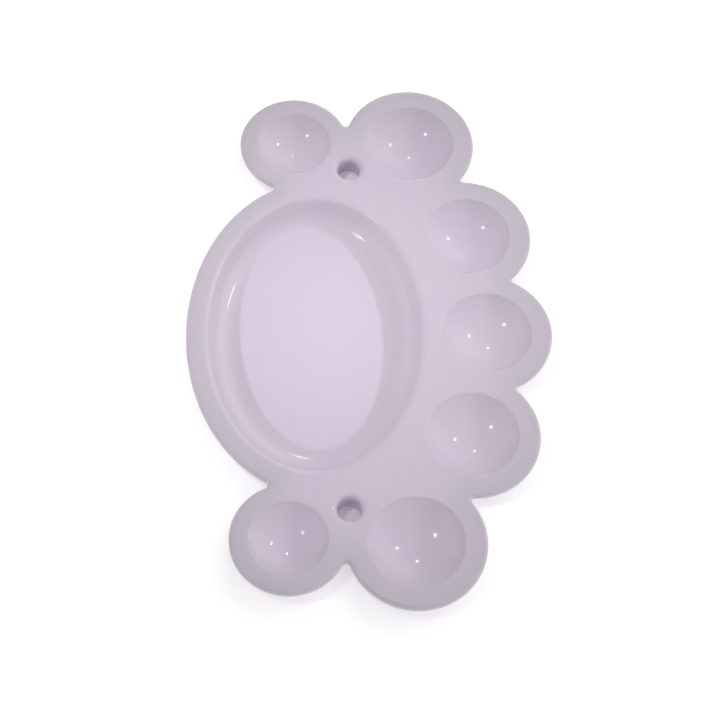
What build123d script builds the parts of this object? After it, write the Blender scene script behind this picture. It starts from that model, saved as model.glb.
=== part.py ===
from build123d import *
from math import atan2, cos, degrees, hypot, radians, sin, sqrt
import os

# A one-piece moulded mixing palette, split into the regions of its moulding.
# Frame: millimetres, +Z up, the palette rests on z = 0, its length runs along Y,
# the big mixing well lies towards -X and the round paint wells towards +X.
# The shape is a mirror image of itself across the plane y = 0.

# ---- driving dimensions ----
HEIGHT = 10.0  # resting plane to the deck's top face
WALL = 1.5  # moulded wall of the deck, the rim and the bowls
FLOOR_WALL = 2.0  # wall under the mixing well, which carries the palette

# Round paint wells on the +Y half: name, centre x, centre y, mouth radius, and the band
# from the mouth to the palette's edge. Each has a twin on the -Y half.
PAIRED_WELLS = [
    ("corner_small", -32.1, 92.2, 15.5, 7.9),
    ("corner_large", 17.8, 93.2, 19.0, 8.9),
    ("side", 41.3, 46.5, 18.4, 8.9),
]
MIDDLE_WELL = ("side_middle", 48.4, 0.0, 18.4, 8.7)
WELL_DEPTH_RATIO = 8.5 / 19.0  # every bowl is the same shape at its own size
WELL_LIP_RADIUS = 1.2  # rounding between the deck and a bowl
WELL_COLLAR = 2.0  # ring of deck that belongs to each bowl

# Mixing well: an oval dish with a flat floor.
DISH_X = -22.1
DISH_MOUTH = (46.0, 65.2)  # half axes where the deck starts to turn down
DISH_FLOOR = (33.6, 52.8)  # half axes of the flat floor
DISH_FLOOR_X = -23.7  # the floor's middle, a little off the mouth's
DISH_EDGE = (53.4, 73.0)  # half axes of the palette's edge beside the dish
DISH_COLLAR = 1.0  # ring of deck that belongs to the dish
DISH_LIP_RADIUS = 2.6  # convex turn at the mouth
DISH_STEEPEST = 53.0  # degrees below level, half way down the wall
DISH_TURN = 10.0  # concave radius between the wall and the floor

# Rim and hanging holes.
RIM_WIDTH = 3.0  # strip of deck that belongs to the rim
RIM_DROP = 2.8  # height of the down-turned edge
RIM_ROUND = 1.4  # rounding of the top outer edge
RIM_FOOT_ROUND = 0.5  # rounding of the edge's lower corner
NOTCH_RADIUS = 1.6  # inside corner between two lobes, in plan
HOLE_X = -8.55
HOLE_Y = 79.5
HOLE_RADIUS = 4.7
HOLE_MOUTH_ROUND = 2.4
HOLE_COLLAR = 0.5  # ring of deck outside the rounded mouth
HOLE_DROP = 9.0  # deck's top face to the lower end of the tube
DISH_STATIONS = 5  # sections along each curved stretch of the dish wall
CLOSE = 0.01  # lengths nearer than this are the same
HALVINGS = 60  # steps of the search for a touching circle
NOTCH_SEARCH = (95.0, 150.0)  # degrees round the dish, where the search looks

DISH_RUN = DISH_MOUTH[0] - DISH_FLOOR[0]
DISH_DEPTH = HEIGHT - FLOOR_WALL
HOLE_FLANGE = HOLE_RADIUS + HOLE_MOUTH_ROUND + HOLE_COLLAR


# ---- outline ----
def lobes():
    """Every round lobe, anticlockwise from the lower small one: x, y, outer radius."""
    upper = [(x, y, mouth + band) for _, x, y, mouth, band in PAIRED_WELLS]
    lower = [(x, -y, radius) for x, y, radius in upper]
    _, x, y, mouth, band = MIDDLE_WELL
    return lower + [(x, y, mouth + band)] + upper[::-1]


def lobe_names():
    """Names of the lobes in the order of lobes()."""
    lower = [f"{name}_lower" for name, *_ in PAIRED_WELLS]
    upper = [f"{name}_upper" for name, *_ in PAIRED_WELLS]
    return lower + [MIDDLE_WELL[0]] + upper[::-1]


def notch_between_lobes(first, second, gap):
    """Centre of the circle of radius gap that touches two lobes from outside."""
    (x1, y1, r1), (x2, y2, r2) = first, second
    apart = hypot(x2 - x1, y2 - y1)
    along = ((r1 + gap) ** 2 - (r2 + gap) ** 2 + apart**2) / (2 * apart)
    aside = sqrt((r1 + gap) ** 2 - along**2)
    ux, uy = (x2 - x1) / apart, (y2 - y1) / apart
    return x1 + along * ux + aside * uy, y1 + along * uy - aside * ux


def beside_dish(half_x, half_y, turn, gap):
    """Point on the dish's outer ellipse at parameter turn, and gap outside it."""
    x, y = half_x * cos(turn), half_y * sin(turn)
    nx, ny = half_y * cos(turn), half_x * sin(turn)
    size = hypot(nx, ny)
    return (DISH_X + x, y), (DISH_X + x + gap * nx / size, y + gap * ny / size)


def notch_at_dish(lobe, half_x, half_y, gap):
    """Touching circle between the dish's left side and the upper small lobe."""
    x, y, radius = lobe
    low, high = (radians(angle) for angle in NOTCH_SEARCH)
    for _ in range(HALVINGS):
        middle = (low + high) / 2
        _, centre = beside_dish(half_x, half_y, middle, gap)
        if hypot(centre[0] - x, centre[1] - y) < radius + gap:
            low = middle
        else:
            high = middle
    return middle, centre


def arc_about(centre, radius, start, end, clockwise=False):
    """Arc about a centre from one point's direction to the other's."""
    first = degrees(atan2(start[1] - centre[1], start[0] - centre[0]))
    last = degrees(atan2(end[1] - centre[1], end[0] - centre[0]))
    sweep = -((first - last) % 360) if clockwise else (last - first) % 360
    return CenterArc(centre, radius, first, sweep)


def towards(centre, other, distance):
    """Point at a distance from a centre, towards another point."""
    span = hypot(other[0] - centre[0], other[1] - centre[1])
    return tuple(c + (o - c) * distance / span for c, o in zip(centre, other))


def outline(inset):
    """Palette outline moved in by inset: lobes, dish side and the notches between."""
    ring = [(x, y, radius - inset) for x, y, radius in lobes()]
    gap = NOTCH_RADIUS + inset
    half_x = DISH_EDGE[0] - inset
    half_y = DISH_EDGE[1] - inset
    turn, upper_centre = notch_at_dish(ring[-1], half_x, half_y, gap)
    lower_centre = (upper_centre[0], -upper_centre[1])
    upper_touch, _ = beside_dish(half_x, half_y, turn, gap)
    lower_touch = (upper_touch[0], -upper_touch[1])
    notches = [notch_between_lobes(a, b, gap) for a, b in zip(ring, ring[1:])]
    before = [lower_centre] + notches
    after = notches + [upper_centre]

    edges = []
    for (x, y, radius), start, end in zip(ring, before, after):
        begin = towards((x, y), start, radius)
        finish = towards((x, y), end, radius)
        edges.append(arc_about((x, y), radius, begin, finish))
    for centre, first, second in zip(notches, ring, ring[1:]):
        begin = towards(first[:2], centre, first[2])
        finish = towards(second[:2], centre, second[2])
        edges.append(arc_about(centre, gap, begin, finish, clockwise=True))
    last_x, last_y, last_radius = ring[-1]
    lobe_touch = towards((last_x, last_y), upper_centre, last_radius)
    mirrored_touch = (lobe_touch[0], -lobe_touch[1])
    edges.append(arc_about(upper_centre, gap, lobe_touch, upper_touch, clockwise=True))
    edges.append(arc_about(lower_centre, gap, lower_touch, mirrored_touch, clockwise=True))
    start = degrees(turn)
    sweep = 360 - 2 * start
    edges.append(EllipticalCenterArc((DISH_X, 0), half_x, half_y, start, arc_size=sweep))
    return make_face(Wire(edges))


def slab(face, low, high):
    """Face on the XY plane, extruded between two heights."""
    return Pos(0, 0, low) * extrude(face, high - low)


def disc(x, y, radius, low, high):
    """Upright cylinder between two heights."""
    return Pos(x, y, (low + high) / 2) * Cylinder(radius, high - low)


def oval(grow, low, high):
    """Elliptical cylinder that follows the dish's mouth."""
    mouth = Ellipse(DISH_MOUTH[0] + grow, DISH_MOUTH[1] + grow)
    return slab(Pos(DISH_X, 0) * mouth, low, high)


def top_circle(solid, radius):
    """Circular edges of a radius in the deck's top face."""
    circles = solid.edges().filter_by(GeomType.CIRCLE)
    return circles.filter_by(
        lambda edge: abs(edge.radius - radius) < CLOSE and abs(edge.center().Z - HEIGHT) < CLOSE
    )


# ---- regions of the moulding ----
def paint_wells():
    """Name, x, y and mouth radius of every round well."""
    wells = [MIDDLE_WELL[:4]]
    for name, x, y, mouth, _ in PAIRED_WELLS:
        wells.append((f"{name}_upper", x, y, mouth))
        wells.append((f"{name}_lower", x, -y, mouth))
    return wells


def paint_well(x, y, mouth):
    """Bowl that is part of a sphere, with a rounded lip and a ring of deck."""
    depth = WELL_DEPTH_RATIO * mouth
    sphere = (mouth**2 + depth**2) / (2 * depth)
    centre_z = HEIGHT - depth + sphere
    ring = disc(x, y, mouth + WELL_COLLAR, HEIGHT - WALL, HEIGHT)
    below = disc(x, y, mouth + WELL_COLLAR, -WALL, HEIGHT - WALL)
    shell = Pos(x, y, centre_z) * Sphere(sphere + WALL)
    hollow = Pos(x, y, centre_z) * Sphere(sphere)
    bowl = ring + (shell & below) - hollow
    return fillet(top_circle(bowl, mouth), WELL_LIP_RADIUS)


def dish_profile(thickness_top, thickness_floor):
    """Points (inward run, depth) down the dish wall, moved out by a thickness."""
    steep = radians(DISH_STEEPEST)
    lip = [steep * step / DISH_STATIONS for step in range(DISH_STATIONS + 1)]
    turn = lip[::-1]
    run = [DISH_LIP_RADIUS * sin(slope) for slope in lip]
    drop = [DISH_LIP_RADIUS * (1 - cos(slope)) for slope in lip]
    straight_run = DISH_RUN - (DISH_LIP_RADIUS + DISH_TURN) * sin(steep)
    turn_run = run[-1] + straight_run
    turn_drop = drop[-1] + straight_run * sin(steep) / cos(steep)
    run += [turn_run + DISH_TURN * (sin(steep) - sin(slope)) for slope in turn]
    drop += [turn_drop + DISH_TURN * (cos(slope) - cos(steep)) for slope in turn]
    slopes = lip + turn
    stretch = DISH_DEPTH / drop[-1]
    points = []
    for x, z, slope in zip(run, drop, slopes):
        share = x / DISH_RUN
        thick = thickness_top + (thickness_floor - thickness_top) * share
        points.append((x - thick * sin(slope), z * stretch + thick * cos(slope)))
    return points


def dish_block(points):
    """Solid lofted through the ellipses at the given runs and depths."""
    sections = []
    for run, depth in points:
        share = run / DISH_RUN
        half_x = DISH_MOUTH[0] + (DISH_FLOOR[0] - DISH_MOUTH[0]) * share
        half_y = DISH_MOUTH[1] + (DISH_FLOOR[1] - DISH_MOUTH[1]) * share
        middle_x = DISH_X + (DISH_FLOOR_X - DISH_X) * share
        sections.append(Pos(middle_x, 0, HEIGHT - depth) * Ellipse(half_x, half_y))
    lip = sections[: DISH_STATIONS + 1]
    turn = sections[DISH_STATIONS + 1 :]
    return loft(lip) + loft([lip[-1], turn[0]]) + loft(turn)


def mixing_well_floor():
    """Flat oval plate that the palette rests on."""
    return slab(Pos(DISH_FLOOR_X, 0) * Ellipse(*DISH_FLOOR), 0, FLOOR_WALL)


def mixing_well_wall():
    """Curved wall of the dish, from its ring of deck down to the flat floor."""
    ring = oval(DISH_COLLAR, HEIGHT - WALL, HEIGHT)
    outside = dish_block(dish_profile(WALL, FLOOR_WALL))
    inside = dish_block(dish_profile(0, 0))
    return ring + outside - inside - mixing_well_floor()


def hanging_hole(side):
    """Tube below the deck with a rounded mouth."""
    flange = disc(HOLE_X, side * HOLE_Y, HOLE_FLANGE, HEIGHT - WALL, HEIGHT)
    tube = disc(HOLE_X, side * HOLE_Y, HOLE_RADIUS + WALL, HEIGHT - HOLE_DROP, HEIGHT)
    throat = disc(HOLE_X, side * HOLE_Y, HOLE_RADIUS, 0, HEIGHT + WALL)
    collar = flange + tube - throat
    return fillet(top_circle(collar, HOLE_RADIUS), HOLE_MOUTH_ROUND)


def whole_rim():
    """Rounded outer edge that turns down all the way round."""
    block = slab(outline(0), HEIGHT - RIM_DROP, HEIGHT)
    block = fillet(block.edges().group_by(Axis.Z)[-1], RIM_ROUND)
    block = fillet(block.edges().group_by(Axis.Z)[0], RIM_FOOT_ROUND)
    under = slab(outline(WALL), 0, HEIGHT - WALL)
    inside = slab(outline(RIM_WIDTH), 0, HEIGHT + WALL)
    return block - under - inside


def parting_planes():
    """Upright planes through the notches, each facing the lobe that comes after it."""
    ring = lobes()
    turn, upper = notch_at_dish(ring[-1], *DISH_EDGE, NOTCH_RADIUS)
    touch, _ = beside_dish(*DISH_EDGE, turn, NOTCH_RADIUS)
    centres = [lobe[:2] for lobe in ring]
    sides = [((upper[0], -upper[1]), (touch[0], -touch[1]), centres[0])]
    for first, second in zip(ring, ring[1:]):
        sides.append((notch_between_lobes(first, second, NOTCH_RADIUS), first[:2], second[:2]))
    sides.append((upper, centres[-1], touch))
    planes = []
    for notch, behind, ahead in sides:
        x1, y1 = towards(notch, behind, 1)
        x2, y2 = towards(notch, ahead, 1)
        planes.append(Plane(origin=(notch[0], notch[1], 0), z_dir=(x2 - x1, y2 - y1, 0)))
    return planes


def rim_sections():
    """The rim parted at its notches: one arc round each lobe, one beside the dish."""
    rest = whole_rim()
    planes = parting_planes()
    sections = {}
    for (x, y, radius), name, behind, ahead in zip(lobes(), lobe_names(), planes, planes[1:]):
        around = rest & disc(x, y, radius + WALL, 0, HEIGHT + WALL)
        around = split(around, bisect_by=behind, keep=Keep.TOP)
        sections[name] = split(around, bisect_by=ahead, keep=Keep.BOTTOM)
        rest -= sections[name]
    sections["mixing_well"] = rest
    return sections


def deck():
    """Flat web between the wells, inside the rim."""
    plate = slab(outline(RIM_WIDTH), HEIGHT - WALL, HEIGHT)
    plate -= oval(DISH_COLLAR, 0, HEIGHT + WALL)
    for _, x, y, mouth in paint_wells():
        plate -= disc(x, y, mouth + WELL_COLLAR, 0, HEIGHT + WALL)
    for side in (1, -1):
        plate -= disc(HOLE_X, side * HOLE_Y, HOLE_FLANGE, 0, HEIGHT + WALL)
    return plate


def main():
    os.makedirs("parts", exist_ok=True)
    export_step(deck(), "parts/deck.step")
    for name, section in rim_sections().items():
        export_step(section, f"parts/rim_{name}.step")
    export_step(mixing_well_wall(), "parts/mixing_well_wall.step")
    export_step(mixing_well_floor(), "parts/mixing_well_floor.step")
    for name, x, y, mouth in paint_wells():
        export_step(paint_well(x, y, mouth), f"parts/paint_well_{name}.step")
    for name, side in (("upper", 1), ("lower", -1)):
        export_step(hanging_hole(side), f"parts/hanging_hole_{name}.step")


main()
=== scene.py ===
import math

import bmesh
import bpy
import numpy as np
from mathutils import Matrix, Vector
from mathutils.geometry import delaunay_2d_cdt


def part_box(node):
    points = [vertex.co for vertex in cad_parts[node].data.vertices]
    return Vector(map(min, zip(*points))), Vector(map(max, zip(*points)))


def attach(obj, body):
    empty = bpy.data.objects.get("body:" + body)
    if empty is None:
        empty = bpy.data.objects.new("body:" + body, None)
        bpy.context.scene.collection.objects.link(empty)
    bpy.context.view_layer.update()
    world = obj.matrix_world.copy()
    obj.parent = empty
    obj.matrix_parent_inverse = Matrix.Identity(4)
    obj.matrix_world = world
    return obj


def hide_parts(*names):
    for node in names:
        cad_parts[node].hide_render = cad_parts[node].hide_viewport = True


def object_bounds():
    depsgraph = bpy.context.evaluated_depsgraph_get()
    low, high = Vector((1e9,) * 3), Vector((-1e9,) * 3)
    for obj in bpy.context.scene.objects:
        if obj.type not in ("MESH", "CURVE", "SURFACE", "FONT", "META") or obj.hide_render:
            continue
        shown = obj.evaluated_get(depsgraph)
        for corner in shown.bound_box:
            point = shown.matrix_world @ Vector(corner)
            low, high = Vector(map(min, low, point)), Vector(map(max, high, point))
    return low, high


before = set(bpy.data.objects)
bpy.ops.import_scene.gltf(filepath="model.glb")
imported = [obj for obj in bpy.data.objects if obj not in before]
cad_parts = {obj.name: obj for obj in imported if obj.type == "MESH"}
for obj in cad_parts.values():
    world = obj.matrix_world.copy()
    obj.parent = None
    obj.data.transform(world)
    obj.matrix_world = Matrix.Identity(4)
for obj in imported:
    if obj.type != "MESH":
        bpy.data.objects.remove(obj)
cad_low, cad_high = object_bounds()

# A glossy white moulded mixing palette. Every visible piece is rebuilt here at a fine
# resolution, round the frame's own sizes, and stands for its CAD node. The rim is one
# piece that stands for all the rim's nodes. Lengths are in metres.

MM = 0.001

# ---- sizes that the frame's boxes don't give ----
WALL = 1.5 * MM
FLOOR_WALL = 2.0 * MM
WELL_COLLAR = 2.0 * MM
WELL_LIP_RADIUS = 1.2 * MM
DISH_COLLAR = 1.0 * MM
DISH_LIP_RADIUS = 2.6 * MM
DISH_STEEPEST = math.radians(53)
DISH_TURN = 10.0 * MM
DISH_EDGE = (53.4 * MM, 73.0 * MM)
LOBE_BANDS = {  # from a well's mouth to the palette's edge
    "corner_small": 7.9 * MM,
    "corner_large": 8.9 * MM,
    "side": 8.9 * MM,
    "side_middle": 8.7 * MM,
}
RIM_WIDTH = 3.0 * MM
RIM_ROUND = 1.4 * MM
RIM_FOOT_ROUND = 0.5 * MM
NOTCH_RADIUS = 1.6 * MM
HOLE_COLLAR = 0.5 * MM
HOLE_MOUTH_ROUND = 2.4 * MM
HOLE_FOOT_ROUND = WALL / 4
INNER_FILLET = 0.8 * MM  # inside corners under the deck
# Recess and cut-off sprue under the mixing well: radius, height above the table.
GATE_SECTION = [(3.2 * MM, 0.0), (2.9 * MM, 0.35 * MM), (0.9 * MM, 0.35 * MM), (0.8 * MM, 0.1 * MM)]
CLOSE = 1e-9  # lengths below this are nothing
NOTCH_SEARCH = (math.radians(95), math.radians(150))  # round the dish, where the search looks
HALVINGS = 60  # steps of the search for a touching circle

# ---- how finely the curved pieces are cut ----
WELL_SEGMENTS = 144
WELL_RINGS = 22
DISH_SEGMENTS = 288
HOLE_SEGMENTS = 64
LIP_STEPS = 8
DISH_LIP_STEPS = 10
DISH_TURN_STEPS = 18
FLOOR_RINGS = 12
RIM_STEP = 1.3 * MM
RIM_FOOT_STEPS = 5
HOLE_FOOT_STEPS = 4
NOTCH_STEPS = 12
FEWEST_STEPS = 3
SHARP_ANGLE = math.radians(32)
DECK_GRID = 3.5 * MM
EDGE_FADE = 9.0 * MM  # how far the painted shade along the outline reaches inwards
BOWL_FADE = 1.0 * MM  # the bowls' painted glow grows over this distance inside the mouth
CHUNK = 4000  # points measured at a time

PIECES = []

WELL_NODES = sorted(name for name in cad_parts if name.startswith("paint_well_"))
HOLE_NODES = sorted(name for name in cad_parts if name.startswith("hanging_hole_"))
RIM_NODES = sorted(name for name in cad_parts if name.startswith("rim_"))


# ---- measures read from the frame ----
def middle_and_half(node):
    low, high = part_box(node)
    return (low + high) / 2, (high - low) / 2


def wells():
    """Centre x, centre y and mouth radius of each round well, by node name."""
    found = {}
    for node in WELL_NODES:
        middle, half = middle_and_half(node)
        found[node] = (middle.x, middle.y, half.x - WELL_COLLAR)
    return found


TOP = cad_high.z
WELLS = wells()
DISH_MIDDLE, DISH_HALF = middle_and_half("mixing_well_wall")
DISH_MOUTH = (DISH_HALF.x - DISH_COLLAR, DISH_HALF.y - DISH_COLLAR)
FLOOR_MIDDLE, FLOOR_HALF = middle_and_half("mixing_well_floor")
DISH_FLOOR = (FLOOR_HALF.x, FLOOR_HALF.y)
RIM_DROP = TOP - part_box(RIM_NODES[0])[0].z
_, HOLE_HALF = middle_and_half(HOLE_NODES[0])
HOLE_RADIUS = HOLE_HALF.x - HOLE_COLLAR - HOLE_MOUTH_ROUND
HOLE_FLANGE = HOLE_RADIUS + HOLE_MOUTH_ROUND + HOLE_COLLAR
HOLE_DROP = HOLE_HALF.z * 2
LARGEST_WELL = max(mouth for _, _, mouth in WELLS.values())
LARGEST_DEPTH = TOP - cad_low.z - WALL
WELL_DEPTH_RATIO = LARGEST_DEPTH / LARGEST_WELL


# ---- mesh helpers ----
def make_piece(name, points, faces, material):
    """Closed smooth-shaded mesh object with its hard edges kept."""
    mesh = bpy.data.meshes.new(name)
    mesh.from_pydata([tuple(point) for point in points], [], faces)
    work = bmesh.new()
    work.from_mesh(mesh)
    bmesh.ops.recalc_face_normals(work, faces=work.faces)
    work.to_mesh(mesh)
    work.free()
    mesh.polygons.foreach_set("use_smooth", [True] * len(mesh.polygons))
    mesh.set_sharp_from_angle(angle=SHARP_ANGLE)
    mesh.materials.append(material)
    piece = bpy.data.objects.new(name, mesh)
    bpy.context.scene.collection.objects.link(piece)
    return piece


def stand_for(piece, *nodes):
    """Piece rides on the one body and stands for its CAD nodes."""
    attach(piece, "root")
    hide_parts(*nodes)
    PIECES.append(piece)


def arc(centre_x, centre_z, radius, first, last, steps):
    """Points of an arc in a section, angles in radians, first point included."""
    angles = np.linspace(first, last, steps + 1)
    return [(centre_x + radius * math.cos(a), centre_z + radius * math.sin(a)) for a in angles]


def loft_rings(rings, closed=True):
    """Points and quads through rings of equal length; a ring of one point is a pole."""
    points, starts = [], []
    for ring in rings:
        starts.append(len(points))
        points.extend(ring)
    faces = []
    pairs = list(zip(range(len(rings)), range(1, len(rings))))
    if closed:
        pairs.append((len(rings) - 1, 0))
    for a, b in pairs:
        first, second = rings[a], rings[b]
        count = max(len(first), len(second))
        for k in range(count):
            following = (k + 1) % count
            corners = []
            if len(first) == 1:
                corners.append(starts[a])
            else:
                corners += [starts[a] + following, starts[a] + k]
            if len(second) == 1:
                corners.append(starts[b])
            else:
                corners += [starts[b] + k, starts[b] + following]
            faces.append(corners)
    return points, faces


def oval(x, y, half_x, half_y, segments):
    """Plan points of an oval whose axes lie along X and Y."""
    angles = [2 * math.pi * k / segments for k in range(segments)]
    return [(x + half_x * math.cos(a), y + half_y * math.sin(a)) for a in angles]


def circle(x, y, radius, segments):
    return oval(x, y, radius, radius, segments)


def lifted(plan, height):
    """Plan points at a height."""
    return [(x, y, height) for x, y in plan]


def turned(section, x, y, segments):
    """Solid of revolution about an upright axis from a section of (radius, height)."""
    rings = []
    for radius, height in section:
        plan = circle(x, y, radius, segments) if radius > CLOSE else [(x, y)]
        rings.append(lifted(plan, height))
    return loft_rings(rings, closed=len(rings[0]) > 1)


# ---- round wells ----
def lip_of_sphere(mouth, sphere, centre_z, radius):
    """Rounded lip between the flat deck and a spherical hollow.

    Returns the distance from the axis and the height of the lip arc's centre.
    """
    centre_height = TOP - radius
    reach = sphere + radius
    rise = centre_z - centre_height
    return math.sqrt(reach**2 - rise**2), centre_height


def well_section(mouth):
    """Section of a bowl: up the inside, over the lip, and back underneath."""
    depth = WELL_DEPTH_RATIO * mouth
    sphere = (mouth**2 + depth**2) / (2 * depth)
    centre_z = TOP - depth + sphere
    outer = sphere + WALL
    collar = mouth + WELL_COLLAR
    lip_x, lip_z = lip_of_sphere(mouth, sphere, centre_z, WELL_LIP_RADIUS)
    touch = math.atan2(lip_z - centre_z, lip_x)
    section = [(0.0, TOP - depth)]
    section += arc(0, centre_z, sphere, -math.pi / 2, touch, WELL_RINGS)[1:]
    section += arc(lip_x, lip_z, WELL_LIP_RADIUS, touch + math.pi, math.pi / 2, LIP_STEPS)[1:]
    section += [(collar, TOP), (collar, TOP - WALL)]
    corner_z = TOP - WALL - INNER_FILLET
    reach = outer + INNER_FILLET
    corner_x = math.sqrt(reach**2 - (centre_z - corner_z) ** 2)
    under = math.atan2(corner_z - centre_z, corner_x)
    if corner_x < collar:
        section += arc(corner_x, corner_z, INNER_FILLET, math.pi / 2, under + math.pi, LIP_STEPS)
    section += arc(0, centre_z, outer, under, -math.pi / 2, WELL_RINGS)[1:-1]
    section.append((0.0, centre_z - outer))
    return section


def make_wells(material):
    for node, (x, y, mouth) in WELLS.items():
        points, faces = turned(well_section(mouth), x, y, WELL_SEGMENTS)
        piece = make_piece(node + "_bowl", points, faces, material)
        within = [mouth - math.hypot(px - x, py - y) for px, py, _ in points]
        # the mask of the bowls' painted glow
        layer = piece.data.attributes.new("bowl", "FLOAT", "POINT")
        layer.data.foreach_set("value", np.clip(np.array(within) / BOWL_FADE, 0, 1))
        stand_for(piece, node)


# ---- mixing well ----
def dish_wall_line(thick_top, thick_floor):
    """(inward run, depth) down the dish wall, moved out by a thickness."""
    steep = DISH_STEEPEST
    full_run = DISH_MOUTH[0] - DISH_FLOOR[0]
    lip = [steep * k / DISH_LIP_STEPS for k in range(DISH_LIP_STEPS + 1)]
    turn = [steep * (1 - k / DISH_TURN_STEPS) for k in range(DISH_TURN_STEPS + 1)]
    straight = full_run - (DISH_LIP_RADIUS + DISH_TURN) * math.sin(steep)
    turn_run = DISH_LIP_RADIUS * math.sin(steep) + straight
    turn_drop = DISH_LIP_RADIUS * (1 - math.cos(steep)) + straight * math.tan(steep)
    run = [DISH_LIP_RADIUS * math.sin(slope) for slope in lip]
    drop = [DISH_LIP_RADIUS * (1 - math.cos(slope)) for slope in lip]
    run += [turn_run + DISH_TURN * (math.sin(steep) - math.sin(slope)) for slope in turn]
    drop += [turn_drop + DISH_TURN * (math.cos(slope) - math.cos(steep)) for slope in turn]
    slopes = lip + turn
    depth = TOP - cad_low.z - FLOOR_WALL
    stretch = depth / drop[-1]
    line = []
    for x, z, slope in zip(run, drop, slopes):
        thick = thick_top + (thick_floor - thick_top) * x / full_run
        line.append((x - thick * math.sin(slope), z * stretch + thick * math.cos(slope)))
    return line


def dish_ring(run, depth):
    """Ring of the dish wall at an inward run from the mouth."""
    share = run / (DISH_MOUTH[0] - DISH_FLOOR[0])
    half_x = DISH_MOUTH[0] + (DISH_FLOOR[0] - DISH_MOUTH[0]) * share
    half_y = DISH_MOUTH[1] + (DISH_FLOOR[1] - DISH_MOUTH[1]) * share
    middle_x = DISH_MIDDLE.x + (FLOOR_MIDDLE.x - DISH_MIDDLE.x) * share
    return lifted(oval(middle_x, 0, half_x, half_y, DISH_SEGMENTS), TOP - depth)


def collar_ring(height):
    half_x, half_y = DISH_MOUTH[0] + DISH_COLLAR, DISH_MOUTH[1] + DISH_COLLAR
    return lifted(oval(DISH_MIDDLE.x, 0, half_x, half_y, DISH_SEGMENTS), height)


def make_dish_wall(material):
    rings = [collar_ring(TOP)]
    rings += [dish_ring(run, depth) for run, depth in dish_wall_line(0, 0)]
    rings += [dish_ring(run, depth) for run, depth in reversed(dish_wall_line(WALL, FLOOR_WALL))]
    rings.append(collar_ring(TOP - WALL))
    points, faces = loft_rings(rings)
    stand_for(make_piece("mixing_well_side", points, faces, material), "mixing_well_wall")


def make_dish_floor(material):
    """Oval plate with the moulding gate's mark in the middle of its underside."""
    middle = (FLOOR_MIDDLE.x, 0)
    half_x, half_y = DISH_FLOOR
    shares = [1 - k / FLOOR_RINGS for k in range(FLOOR_RINGS)]
    plans = [oval(*middle, half_x * share, half_y * share, DISH_SEGMENTS) for share in shares]
    top = cad_low.z + FLOOR_WALL
    rings = [lifted([middle], top)]
    rings += [lifted(plan, top) for plan in reversed(plans)]
    rings += [lifted(plan, cad_low.z) for plan in plans[:-1]]
    for radius, height in GATE_SECTION:
        rings.append(lifted(circle(*middle, radius, DISH_SEGMENTS), cad_low.z + height))
    rings.append(lifted([middle], cad_low.z + GATE_SECTION[-1][1]))
    points, faces = loft_rings(rings, closed=False)
    stand_for(make_piece("mixing_well_base", points, faces, material), "mixing_well_floor")


# ---- hanging holes ----
def hole_section():
    """Section of a hole's collar, rounded mouth and tube."""
    mouth_x, mouth_z = HOLE_RADIUS + HOLE_MOUTH_ROUND, TOP - HOLE_MOUTH_ROUND
    foot = TOP - HOLE_DROP
    outer = HOLE_RADIUS + WALL
    corner_x, corner_z = outer + INNER_FILLET, TOP - WALL - INNER_FILLET
    section = [(HOLE_FLANGE, TOP)]
    section += arc(mouth_x, mouth_z, HOLE_MOUTH_ROUND, math.pi / 2, math.pi, LIP_STEPS * 2)
    edge = HOLE_FOOT_ROUND
    section += arc(HOLE_RADIUS + edge, foot + edge, edge, math.pi, 1.5 * math.pi, HOLE_FOOT_STEPS)
    section += arc(outer - edge, foot + edge, edge, -math.pi / 2, 0, HOLE_FOOT_STEPS)
    section += arc(corner_x, corner_z, INNER_FILLET, math.pi, math.pi / 2, LIP_STEPS)
    section.append((HOLE_FLANGE, TOP - WALL))
    return section


def make_holes(material):
    for node in HOLE_NODES:
        middle, _ = middle_and_half(node)
        points, faces = turned(hole_section(), middle.x, middle.y, HOLE_SEGMENTS)
        stand_for(make_piece(node + "_collar", points, faces, material), node)


# ---- outline, rim and deck ----
def lobe_band(node):
    """Band of deck and rim round a well, by its node's name."""
    name = node.removeprefix("paint_well_").removesuffix("_upper").removesuffix("_lower")
    return LOBE_BANDS[name]


def lobes():
    """Every lobe's centre and outer radius, anticlockwise from the lower small one."""
    found = [(x, y, mouth + lobe_band(node)) for node, (x, y, mouth) in WELLS.items()]
    found.sort(key=lambda lobe: lobe[1])
    right = [lobe for lobe in found if lobe[0] > DISH_MIDDLE.x + DISH_MOUTH[0] / 2]
    left = [lobe for lobe in found if lobe not in right]
    return [left[0]] + right + [left[1]]


def notch_between(first, second):
    """Centre of the notch circle that touches two lobes from outside."""
    (x1, y1, r1), (x2, y2, r2) = first, second
    apart = math.hypot(x2 - x1, y2 - y1)
    along = ((r1 + NOTCH_RADIUS) ** 2 - (r2 + NOTCH_RADIUS) ** 2 + apart**2) / (2 * apart)
    aside = math.sqrt((r1 + NOTCH_RADIUS) ** 2 - along**2)
    ux, uy = (x2 - x1) / apart, (y2 - y1) / apart
    return x1 + along * ux + aside * uy, y1 + along * uy - aside * ux


def beside_dish(turn, gap):
    """Point on the dish's outer oval, its outward normal, and the point gap outside."""
    half_x, half_y = DISH_EDGE
    x, y = DISH_MIDDLE.x + half_x * math.cos(turn), half_y * math.sin(turn)
    nx, ny = half_y * math.cos(turn), half_x * math.sin(turn)
    size = math.hypot(nx, ny)
    nx, ny = nx / size, ny / size
    return (x, y), (nx, ny), (x + gap * nx, y + gap * ny)


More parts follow.
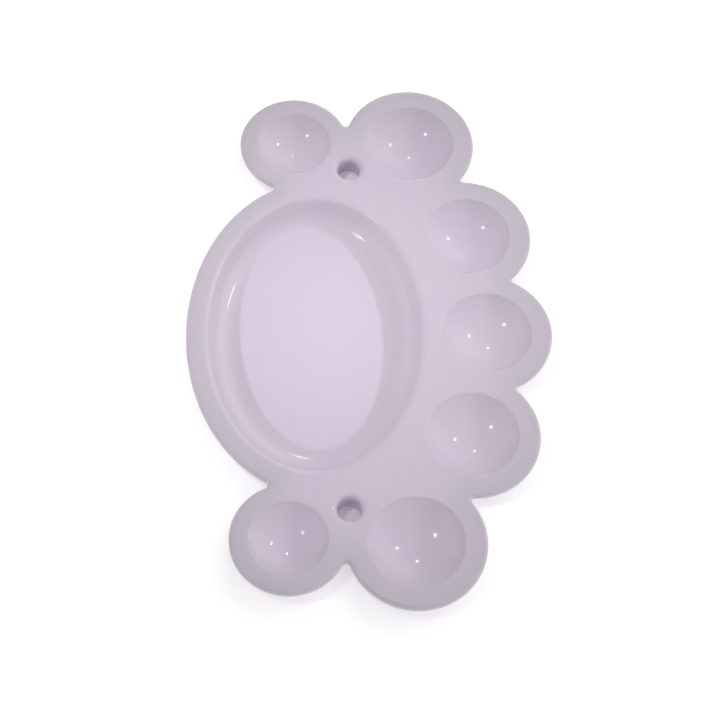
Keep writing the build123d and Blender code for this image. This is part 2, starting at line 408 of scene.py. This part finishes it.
def notch_at_dish(lobe):
    """Where the notch circle touches the dish's side, for the upper small lobe."""
    x, y, radius = lobe
    low, high = NOTCH_SEARCH
    for _ in range(HALVINGS):
        turn = (low + high) / 2
        centre = beside_dish(turn, NOTCH_RADIUS)[2]
        if math.hypot(centre[0] - x, centre[1] - y) < radius + NOTCH_RADIUS:
            low = turn
        else:
            high = turn
    return turn, centre


def swept(centre, radius, start, end, steps=None, inwards=False):
    """Points and outward normals along an arc, the last point left to the next arc."""
    first = math.atan2(start[1] - centre[1], start[0] - centre[0])
    last = math.atan2(end[1] - centre[1], end[0] - centre[0])
    full = 2 * math.pi
    sweep = -((first - last) % full) if inwards else (last - first) % full
    count = steps or max(FEWEST_STEPS, round(abs(sweep) * radius / RIM_STEP))
    sign = -1 if inwards else 1
    line = []
    for k in range(count):
        a = first + sweep * k / count
        c, s = math.cos(a), math.sin(a)
        line.append(((centre[0] + radius * c, centre[1] + radius * s), (sign * c, sign * s)))
    return line


def outline():
    """Points and outward normals all round the palette, anticlockwise."""
    ring = lobes()
    turn, upper = notch_at_dish(ring[-1])
    lower = (upper[0], -upper[1])
    notches = [lower] + [notch_between(a, b) for a, b in zip(ring, ring[1:])] + [upper]
    ahead = [(x, y) for x, y, _ in ring[1:]] + [beside_dish(turn, 0)[0]]
    line = []
    for (x, y, radius), before, after, following in zip(ring, notches, notches[1:], ahead):
        line += swept((x, y), radius, before, after)
        line += swept(after, NOTCH_RADIUS, (x, y), following, NOTCH_STEPS, inwards=True)
    span = 2 * math.pi - 2 * turn
    count = round(span * DISH_MOUTH[1] / RIM_STEP)
    for k in range(count):
        point, normal, _ = beside_dish(turn + span * k / count, 0)
        line.append((point, normal))
    touch = beside_dish(-turn, 0)[0]
    line += swept(lower, NOTCH_RADIUS, touch, ring[0][:2], NOTCH_STEPS, inwards=True)
    return line


def rim_section():
    """(inset, height) round the rim's section, from the seam on top to the seam below."""
    foot = TOP - RIM_DROP
    edge = RIM_FOOT_ROUND
    corner_x, corner_z = WALL + INNER_FILLET, TOP - WALL - INNER_FILLET
    section = [(RIM_WIDTH, TOP)]
    section += arc(RIM_ROUND, TOP - RIM_ROUND, RIM_ROUND, math.pi / 2, math.pi, LIP_STEPS * 2)
    section += arc(edge, foot + edge, edge, math.pi, 1.5 * math.pi, RIM_FOOT_STEPS)
    section += arc(WALL - edge, foot + edge, edge, -math.pi / 2, 0, RIM_FOOT_STEPS)
    section += arc(corner_x, corner_z, INNER_FILLET, math.pi, math.pi / 2, LIP_STEPS)
    section.append((RIM_WIDTH, TOP - WALL))
    return section


def make_rim(line, material):
    """The rim's section carried all round the outline."""
    rings = []
    for inset, height in rim_section():
        rings.append([(x - inset * nx, y - inset * ny, height) for (x, y), (nx, ny) in line])
    points, faces = loft_rings(rings)
    stand_for(make_piece("turned_down_rim", points, faces, material), *RIM_NODES)


def inside(polygon, spots):
    """Which of the spots lie inside a closed polygon; both are arrays of x and y."""
    x, y = spots[:, :1], spots[:, 1:]
    x1, y1 = polygon[:, 0], polygon[:, 1]
    x2, y2 = np.roll(x1, -1), np.roll(y1, -1)
    spans = (y1 > y) != (y2 > y)
    rise = np.where(y2 == y1, 1.0, y2 - y1)
    crossings = spans & (x < (x2 - x1) * (y - y1) / rise + x1)
    return crossings.sum(axis=1) % 2 == 1


def nearest(spots, others):
    """Distance from each spot to the nearest of the others."""
    found = []
    for start in range(0, len(spots), CHUNK):
        some = spots[start:start + CHUNK, None]
        found.append(np.sqrt(((some - others[None]) ** 2).sum(axis=2)).min(axis=1))
    return np.concatenate(found)


def make_deck(line, material):
    """Flat web whose edges are exactly the seams of the pieces round it."""
    border = [(x - RIM_WIDTH * nx, y - RIM_WIDTH * ny) for (x, y), (nx, ny) in line]
    loops = [border, [point[:2] for point in collar_ring(TOP)]]
    loops += [circle(x, y, mouth + WELL_COLLAR, WELL_SEGMENTS) for x, y, mouth in WELLS.values()]
    for node in HOLE_NODES:
        middle, _ = middle_and_half(node)
        loops.append(circle(middle.x, middle.y, HOLE_FLANGE, HOLE_SEGMENTS))
    plan, edges = [], []
    for loop in loops:
        start = len(plan)
        plan += loop
        edges += [(start + k, start + (k + 1) % len(loop)) for k in range(len(loop))]

    def on_web(spots):
        web = inside(np.array(border), spots)
        for loop in loops[1:]:
            web &= ~inside(np.array(loop), spots)
        return web

    across = np.arange(cad_low.x, cad_high.x, DECK_GRID)
    along = np.arange(cad_low.y, cad_high.y, DECK_GRID)
    grid = np.array([(x, y) for x in across for y in along])
    grid = grid[on_web(grid)]
    grid = grid[nearest(grid, np.array(plan)) > DECK_GRID / 2]
    plan += [tuple(spot) for spot in grid]
    verts, _, triangles, *_ = delaunay_2d_cdt([Vector(spot) for spot in plan], edges, [], 0, CLOSE)
    corners = np.array([tuple(vert) for vert in verts])
    triangles = np.array([tuple(triangle) for triangle in triangles])
    kept = [tuple(int(k) for k in t) for t in triangles[on_web(corners[triangles].mean(axis=1))]]
    count = len(verts)
    points = lifted(verts, TOP) + lifted(verts, TOP - WALL)
    faces = kept + [tuple(k + count for k in reversed(triangle)) for triangle in kept]
    faces += [(a, b, b + count, a + count) for a, b in edges]
    stand_for(make_piece("deck_web", points, faces, material), "deck")


def mark_edges(line):
    """Gives every vertex its closeness to the palette's outline, 1 on it and 0 far inside: the mask of
    the painted shade along the outline.
    """
    border = np.array([point for point, _ in line])
    for piece in PIECES:
        spots = np.empty(len(piece.data.vertices) * 3)
        piece.data.vertices.foreach_get("co", spots)
        away = nearest(spots.reshape(-1, 3)[:, :2], border)
        layer = piece.data.attributes.new("edge", "FLOAT", "POINT")
        layer.data.foreach_set("value", np.exp(-((away / EDGE_FADE) ** 2)))


# ---- material ----
def colour_socket(sockets, name):
    """The colour socket of a Mix node, which has one of each name for every data type."""
    return next(socket for socket in sockets if socket.name == name and socket.type == "RGBA")


class Graph:
    """Short calls for building a material's node tree."""

    def __init__(self, material):
        material.use_nodes = True
        self.nodes = material.node_tree.nodes
        self.links = material.node_tree.links
        self.shader = self.nodes["Principled BSDF"]
        self.place = self.nodes.new("ShaderNodeTexCoord").outputs["Object"]

    def feed(self, socket, value):
        if isinstance(value, bpy.types.NodeSocket):
            self.links.new(value, socket)
        else:
            socket.default_value = value

    def noise(self, scale, detail=2.0, roughness=0.5, place=None):
        node = self.nodes.new("ShaderNodeTexNoise")
        node.inputs["Scale"].default_value = scale
        node.inputs["Detail"].default_value = detail
        node.inputs["Roughness"].default_value = roughness
        self.feed(node.inputs["Vector"], place or self.place)
        return node.outputs["Fac"]

    def cells(self, scale):
        """Distance to the nearest of a scatter of points, in cells."""
        node = self.nodes.new("ShaderNodeTexVoronoi")
        node.inputs["Scale"].default_value = scale
        self.feed(node.inputs["Vector"], self.place)
        return node.outputs["Distance"]

    def mapped(self, scale, turn=(0, 0, 0), shift=(0, 0, 0), kind="POINT"):
        node = self.nodes.new("ShaderNodeMapping")
        node.vector_type = kind
        node.inputs["Location"].default_value = shift
        node.inputs["Rotation"].default_value = turn
        node.inputs["Scale"].default_value = scale
        self.feed(node.inputs["Vector"], self.place)
        return node.outputs["Vector"]

    def vector(self, operation, first, second=(0, 0, 0)):
        node = self.nodes.new("ShaderNodeVectorMath")
        node.operation = operation
        self.feed(node.inputs[0], first)
        self.feed(node.inputs[1], second)
        return node.outputs["Value" if operation == "LENGTH" else "Vector"]

    def math(self, operation, first, second=0.0):
        node = self.nodes.new("ShaderNodeMath")
        node.operation = operation
        self.feed(node.inputs[0], first)
        self.feed(node.inputs[1], second)
        return node.outputs["Value"]

    def spread(self, value, low, high, to_low=0.0, to_high=1.0, smooth=False):
        """Value carried from one range to another and held at its ends."""
        node = self.nodes.new("ShaderNodeMapRange")
        if smooth:
            node.interpolation_type = "SMOOTHSTEP"
        ends = {"From Min": low, "From Max": high, "To Min": to_low, "To Max": to_high}
        for socket, number in ends.items():
            node.inputs[socket].default_value = number
        self.feed(node.inputs["Value"], value)
        return node.outputs["Result"]

    def mix(self, share, first, second, blend="MIX"):
        node = self.nodes.new("ShaderNodeMix")
        node.data_type = "RGBA"
        node.blend_type = blend
        self.feed(node.inputs["Factor"], share)
        self.feed(colour_socket(node.inputs, "A"), first)
        self.feed(colour_socket(node.inputs, "B"), second)
        return colour_socket(node.outputs, "Result")

    def tint(self, share, colour, tone):
        """Colour multiplied by a tone, by the given share."""
        return self.mix(share, colour, tone, "MULTIPLY")

    def attribute(self, name):
        node = self.nodes.new("ShaderNodeAttribute")
        node.attribute_name = name
        return node.outputs["Fac"]

    def bump(self, height, distance, under=None):
        node = self.nodes.new("ShaderNodeBump")
        node.inputs["Distance"].default_value = distance
        self.feed(node.inputs["Height"], height)
        if under:
            self.feed(node.inputs["Normal"], under)
        return node.outputs["Normal"]


# Painted glow where the mixing well's floor touches the table, a little askew: the light that comes
# through the thin floor off the pale table, painted into the colour as a brighter patch.
GLOW_PATCH_MIDDLE = (-24.0 * MM, 1.8 * MM, 0)
GLOW_PATCH_HALF = (29.4 * MM, 52.6 * MM)
GLOW_PATCH_TURN = math.radians(5)
GLOW_PATCH_FADE = (1.03, 0.98)  # in the patch's half axes
DISH_FADE = (1.0, 0.97)  # in the mouth's half axes
WALL_FADE = (0.68, 0.92)  # from the painted shade to the painted light, in the mouth's half axes
PLASTIC = (0.643, 0.568, 0.693, 1)
PLASTIC_WARM = (0.653, 0.571, 0.683, 1)
# painted glow: the brighter colour of the patch under the mixing well
TABLE_GLOW_COLOUR = (0.680, 0.601, 0.728, 1)
BOWL_PAINTED_GLOW = (1.05, 1.05, 1.05, 1)  # painted glow in the bowls, as from light off the pale table
# painted shade along the outline, greyer where less light comes back through the plastic
EDGE_PAINTED_SHADE = (0.90, 0.93, 0.885, 1)
WALL_PAINTED_SHADE = (0.892, 0.897, 0.883, 1)  # painted shade on the dish wall, which has no table behind it
WALL_PAINTED_LIGHT = (1.035, 1.04, 1.03, 1)  # painted light near the mouth, where light comes through the lip
SPECK_TONE = (0.70, 0.72, 0.70, 1)
REFRACTION = 1.5

# Noise textures: how many to the metre, and the part of their range that is used.
CLOUD_SCALE, CLOUD_RANGE = 28.0, (0.35, 0.65)
SPECK_SCALE, SPECK_RANGE = 48.0, (0.010, 0.014)
WORN_SCALE, WORN_RANGE = 22.0, (0.48, 0.62)
SMEAR_SCALE, SMEAR_RANGE = 55.0, (0.3, 0.7)
SCRATCH_RANGE = (0.60, 0.66)
WAVE_SCALE, WAVE_HEIGHT = 90.0, 0.06 * MM
PEEL_SCALE, PEEL_HEIGHT = 1400.0, 0.003 * MM
SMEAR_ROUGHNESS = (0.085, 0.125)
SCRATCH_ROUGHNESS = 0.04  # added along a scratch
SCRATCH_DEPTH = 0.0002 * MM
# Fine rubbing marks in two directions: how the noise is squeezed, and its turn about Z.
SCRATCHES = [((60, 1500, 60), math.radians(25)), ((1500, 70, 60), math.radians(12))]


def plastic_colour(g):
    """Cloudy white with dark specks, and painted light and shade by region where the real plastic lets
    light through: a painted glow under the mixing well and in the bowls, painted shade along the
    outline and on the dish wall, and painted light near the dish mouth.
    """
    cloud = g.spread(g.noise(CLOUD_SCALE), *CLOUD_RANGE)
    colour = g.mix(cloud, PLASTIC, PLASTIC_WARM)
    # Painted glow where the mixing well's floor touches the table.
    patch = g.mapped((*GLOW_PATCH_HALF, 1), (0, 0, GLOW_PATCH_TURN), GLOW_PATCH_MIDDLE, "TEXTURE")
    table_glow = g.spread(g.vector("LENGTH", patch), *GLOW_PATCH_FADE, smooth=True)
    colour = g.mix(table_glow, colour, TABLE_GLOW_COLOUR)
    # Painted glow in the bowls.
    colour = g.tint(g.attribute("bowl"), colour, BOWL_PAINTED_GLOW)
    # Painted shade along the outline.
    colour = g.tint(g.attribute("edge"), colour, EDGE_PAINTED_SHADE)
    # Painted shade on the dish wall, turning to painted light near its mouth.
    dish = g.mapped((*DISH_MOUTH, 1), (0, 0, 0), (DISH_MIDDLE.x, 0, 0), "TEXTURE")
    outward = g.vector("LENGTH", dish)
    in_dish = g.spread(outward, *DISH_FADE, smooth=True)
    in_wall = g.math("SUBTRACT", in_dish, g.math("MINIMUM", in_dish, table_glow))
    wall_light_and_shade = g.mix(g.spread(outward, *WALL_FADE, smooth=True), WALL_PAINTED_SHADE, WALL_PAINTED_LIGHT)
    colour = g.tint(in_wall, colour, wall_light_and_shade)
    speck = g.spread(g.cells(SPECK_SCALE), *SPECK_RANGE, 1, 0)
    return g.tint(speck, colour, SPECK_TONE)


def scratch_marks(g):
    """One along the rubbing marks of the worn spots, zero elsewhere."""
    lines = []
    for stretch, turn in SCRATCHES:
        squeezed = g.mapped(stretch, (0, 0, turn))
        lines.append(g.spread(g.noise(1.0, detail=3.0, roughness=0.6, place=squeezed), *SCRATCH_RANGE))
    worn = g.spread(g.noise(WORN_SCALE), *WORN_RANGE)
    return g.math("MULTIPLY", g.math("MAXIMUM", *lines), worn)


def plastic():
    """Glossy white moulded plastic; its slight translucency is painted into the colour as painted
    light and shade.
    """
    material = bpy.data.materials.new("white_plastic")
    g = Graph(material)
    g.feed(g.shader.inputs["Base Color"], plastic_colour(g))
    g.feed(g.shader.inputs["IOR"], REFRACTION)
    scratch = scratch_marks(g)
    smear = g.spread(g.noise(SMEAR_SCALE, detail=4.0, roughness=0.6), *SMEAR_RANGE, *SMEAR_ROUGHNESS)
    rougher = g.math("MULTIPLY", scratch, SCRATCH_ROUGHNESS)
    g.feed(g.shader.inputs["Roughness"], g.math("ADD", smear, rougher))
    wave = g.bump(g.noise(WAVE_SCALE, detail=1.0), WAVE_HEIGHT)
    peel = g.bump(g.noise(PEEL_SCALE), PEEL_HEIGHT, under=wave)
    cut = g.bump(g.math("MULTIPLY", scratch, -1.0), SCRATCH_DEPTH, under=peel)
    g.feed(g.shader.inputs["Normal"], cut)
    return material


# ---- stage, lights and camera ----
VIEW_AZIMUTH = math.radians(-4.11)
VIEW_ELEVATION = math.radians(62.06)
VIEW_ROLL = math.radians(4.37)
VIEW_DISTANCE = 0.766
VIEW_LENS = 93.85
SENSOR_WIDTH = 36
VIEW_AIM = Vector((-4.1, -13.8, 10.0)) * MM


def make_camera():
    """Camera whose picture is rolled a little about its line of sight."""
    a, e = VIEW_AZIMUTH, VIEW_ELEVATION
    back = Vector((math.sin(a) * math.cos(e), -math.cos(a) * math.cos(e), math.sin(e)))
    level = Vector((math.cos(a), math.sin(a), 0))
    above = back.cross(level)
    right = level * math.cos(VIEW_ROLL) + above * math.sin(VIEW_ROLL)
    up = above * math.cos(VIEW_ROLL) - level * math.sin(VIEW_ROLL)
    data = bpy.data.cameras.new("camera")
    data.lens = VIEW_LENS
    data.sensor_width = SENSOR_WIDTH
    camera = bpy.data.objects.new("camera", data)
    place = Matrix((right, up, back)).transposed().to_4x4()
    place.translation = VIEW_AIM + back * VIEW_DISTANCE
    camera.matrix_world = place
    bpy.context.scene.collection.objects.link(camera)
    bpy.context.scene.camera = camera


def direction(azimuth, elevation):
    """Unit vector; azimuth turns from +X towards +Y, both angles in degrees."""
    a, e = math.radians(azimuth), math.radians(elevation)
    return Vector((math.cos(a) * math.cos(e), math.sin(a) * math.cos(e), math.sin(e)))


def area_light(name, place, width, height, power, shape="RECTANGLE"):
    """Area light turned towards the palette."""
    data = bpy.data.lights.new(name, "AREA")
    data.shape = shape
    data.size = width
    data.size_y = height
    data.energy = power
    light = bpy.data.objects.new(name, data)
    light.location = place
    light.rotation_euler = (-place).to_track_quat("-Z", "Y").to_euler()
    bpy.context.scene.collection.objects.link(light)


# Small bright lamps, far off: name, azimuth, elevation, distance, size, power in watts.
LAMPS = [
    ("lamp_right", 31.8, 48.3, 3.36, 0.29, 3.6),
    ("lamp_left", 186.0, 60.3, 2.89, 0.29, 3.6),
    ("lamp_back", 86.4, 46.7, 3.45, 0.16, 2.3),
]

# Soft boxes: name, azimuths, elevations, distance, power in watts.
SOFT_BOXES = [
    ("softbox_window", (8.0, 78.0), (4.0, 44.0), 2.0, 4.5),
    ("softbox_left", (140.0, 210.0), (5.0, 45.0), 2.0, 6.8),
]

# A wide soft spot from the left, which fades towards the palette's ends.
POOL_AIM = Vector((-0.012, 0.015, 0.0))
POOL_FROM = (180.0, 68.0)
POOL_DISTANCE = 1.2
POOL_RADIUS = 0.12
POOL_SOFTNESS = 0.075
POOL_POWER = 23.8

# The room's brightness towards -X and +X, and how soft the step between them is.
ROOM_LEFT = 0.29
ROOM_RIGHT = 0.86
ROOM_EDGE = 0.03


def filling(angles, distance):
    """Width that fills a span of degrees, seen from a distance."""
    low, high = angles
    return 2 * distance * math.tan(math.radians(high - low) / 2)


def make_lights():
    for name, azimuth, elevation, distance, size, power in LAMPS:
        area_light(name, direction(azimuth, elevation) * distance, size, size, power, "DISK")
    for name, azimuths, elevations, distance, power in SOFT_BOXES:
        place = direction(sum(azimuths) / 2, sum(elevations) / 2) * distance
        area_light(name, place, filling(azimuths, distance), filling(elevations, distance), power)


def make_pool():
    data = bpy.data.lights.new("pool", "SPOT")
    data.spot_size = 2 * math.atan(POOL_RADIUS / POOL_DISTANCE)
    data.spot_blend = 1.0
    data.shadow_soft_size = POOL_SOFTNESS
    data.energy = POOL_POWER
    pool = bpy.data.objects.new("pool", data)
    pool.location = POOL_AIM + direction(*POOL_FROM) * POOL_DISTANCE
    pool.rotation_euler = (POOL_AIM - pool.location).to_track_quat("-Z", "Y").to_euler()
    pool.visible_glossy = False
    bpy.context.scene.collection.objects.link(pool)


def make_room():
    """Surroundings with one bright half, towards +X, as beside a wide window."""
    world = bpy.data.worlds.new("room")
    bpy.context.scene.world = world
    world.use_nodes = True
    nodes, links = world.node_tree.nodes, world.node_tree.links
    side = nodes.new("ShaderNodeSeparateXYZ")
    links.new(nodes.new("ShaderNodeTexCoord").outputs["Generated"], side.inputs[0])
    level = nodes.new("ShaderNodeMapRange")
    level.interpolation_type = "SMOOTHSTEP"
    ends = {"From Min": -ROOM_EDGE, "From Max": ROOM_EDGE, "To Min": ROOM_LEFT, "To Max": ROOM_RIGHT}
    for socket, number in ends.items():
        level.inputs[socket].default_value = number
    links.new(side.outputs["X"], level.inputs["Value"])
    links.new(level.outputs["Result"], nodes["Background"].inputs["Strength"])
    nodes["Background"].inputs["Color"].default_value = (1, 1, 1, 1)


FLOOR_REACH = 3.0
FLOOR_ROUGHNESS = 0.9
FLOOR_GLOW = 0.34
PALE_FLOOR = (0.93, 0.93, 0.93, 1)
# Painted shadow under the hanging holes, where only the palette shines on the floor: a darker lavender
# floor colour and less glow.
PAINTED_SHADOW_FLOOR = (0.86, 0.78, 0.88, 1)
PAINTED_SHADOW_GLOW = 0.07
PAINTED_SHADOW_REACH = (HOLE_RADIUS * 1.5, HOLE_RADIUS * 2.2)


def make_floor():
    material = bpy.data.materials.new("pale_floor")
    g = Graph(material)
    middles = [middle_and_half(node)[0] for node in HOLE_NODES]
    from_holes = [g.vector("SUBTRACT", g.place, (middle.x, middle.y, 0)) for middle in middles]
    away = g.math("MINIMUM", *(g.vector("LENGTH", offset) for offset in from_holes))
    # Painted shadow on the floor under the hanging holes.
    lit = g.spread(away, *PAINTED_SHADOW_REACH)
    g.feed(g.shader.inputs["Base Color"], g.mix(lit, PAINTED_SHADOW_FLOOR, PALE_FLOOR))
    g.feed(g.shader.inputs["Emission Strength"], g.spread(lit, 0, 1, PAINTED_SHADOW_GLOW, FLOOR_GLOW))
    g.feed(g.shader.inputs["Emission Color"], (1, 1, 1, 1))
    g.feed(g.shader.inputs["Roughness"], FLOOR_ROUGHNESS)
    mesh = bpy.data.meshes.new("floor")
    corners = [(-1, -1), (1, -1), (1, 1), (-1, 1)]
    spread_out = [(x * FLOOR_REACH, y * FLOOR_REACH) for x, y in corners]
    mesh.from_pydata(lifted(spread_out, cad_low.z), [], [(0, 1, 2, 3)])
    mesh.materials.append(material)
    floor = bpy.data.objects.new("floor", mesh)
    bpy.context.scene.collection.objects.link(floor)


white = plastic()
border_line = outline()
make_deck(border_line, white)
make_rim(border_line, white)
make_dish_wall(white)
make_dish_floor(white)
make_wells(white)
make_holes(white)
mark_edges(border_line)
make_floor()
make_lights()
make_pool()
make_room()
make_camera()
bpy.context.scene.view_settings.view_transform = "Standard"
